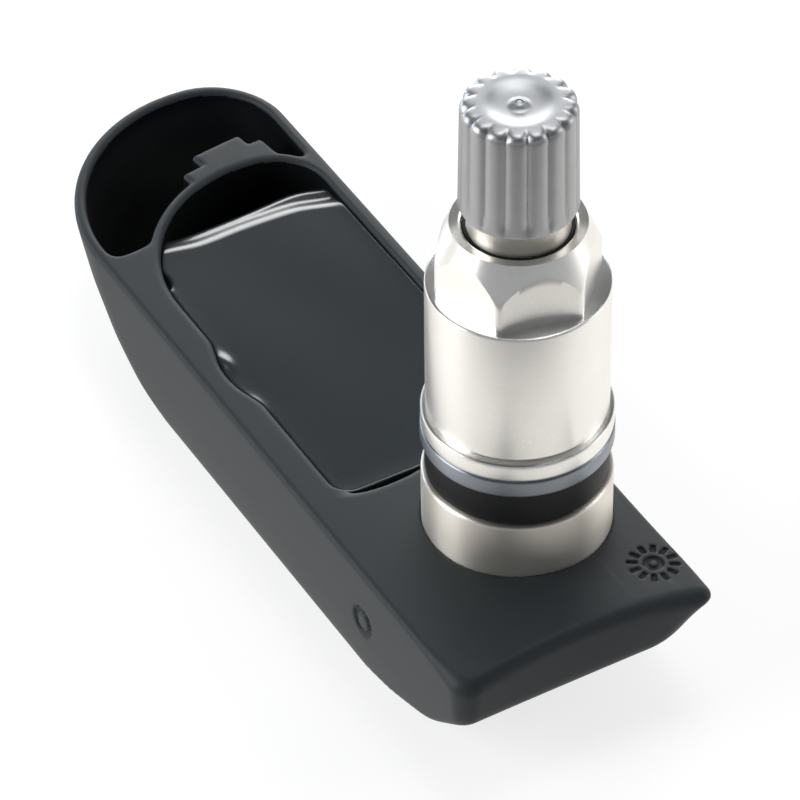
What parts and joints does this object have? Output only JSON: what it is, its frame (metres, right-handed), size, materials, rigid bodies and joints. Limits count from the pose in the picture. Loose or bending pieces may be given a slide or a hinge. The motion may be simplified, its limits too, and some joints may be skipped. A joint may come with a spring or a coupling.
{
  "type": "tyre pressure sensor",
  "caption": "Clamp-in tyre pressure sensor: a potted boat-shaped housing with a tall valve stem, grommet, washer, sleeve nut, sprung valve core and fluted lift-off cap.",
  "frame": {"origin": "on the stem's axis, level with the deck that the collar stands on", "axes": "+Z along the stem towards its cap, +Y from the stem towards the housing's rounded toe, +X across the housing to the right"},
  "size_m": [0.0233, 0.0775, 0.0546],
  "materials": {
    "nylon": "fine-grained, satin",
    "resin": "glossy poured resin",
    "laminate": "solder-masked",
    "cell_steel": "satin",
    "strap": "bright",
    "chip": "moulded",
    "silicone": "smooth",
    "crystal": "satin",
    "ceramic": "fired",
    "ferrite": "sintered",
    "copper": "enamelled",
    "antenna": "bright",
    "stem": "satin turned",
    "rubber": "smooth",
    "washer": "satin",
    "nut": "bright turned",
    "core": "turned",
    "gasket": "smooth",
    "spring": "bright wire",
    "cap": "satin, fluted"
  },
  "bodies": {
    "sensor": {"housing": "nylon", "potting_resin": "resin", "circuit_board": "laminate", "battery_cell": "cell_steel", "battery_strap_top": "strap", "battery_strap_bottom": "strap", "pressure_sensor": "chip", "port_seal": "silicone", "control_chip": "chip", "clock_crystal": "crystal", "chip_capacitors": "ceramic", "coil_core": "ferrite", "coil_winding": "copper", "antenna_loop": "antenna", "valve_stem": "stem", "grommet": "rubber", "washer": "washer", "nut": "nut", "core_body": "core", "core_gasket": "gasket", "core_spring": "spring", "neck_ring": "rubber"},
    "cap": {"cap_shell": "cap", "cap_gasket": "rubber"},
    "plunger": {"core_pin": "core", "core_cup_seal": "rubber"}
  },
  "joints": [
    {"name": "cap_lift", "type": "slide", "parent": "sensor", "child": "cap", "axis": [0, 0, 1], "range_m": [0, 0.012]},
    {"name": "core_pin_press", "type": "slide", "parent": "sensor", "child": "plunger", "axis": [0, 0, 1], "range_m": [-0.0012, 0], "stiffness_N_per_m": 800, "springref_m": 0.0015, "deforming": ["core_spring"]}
  ]
}
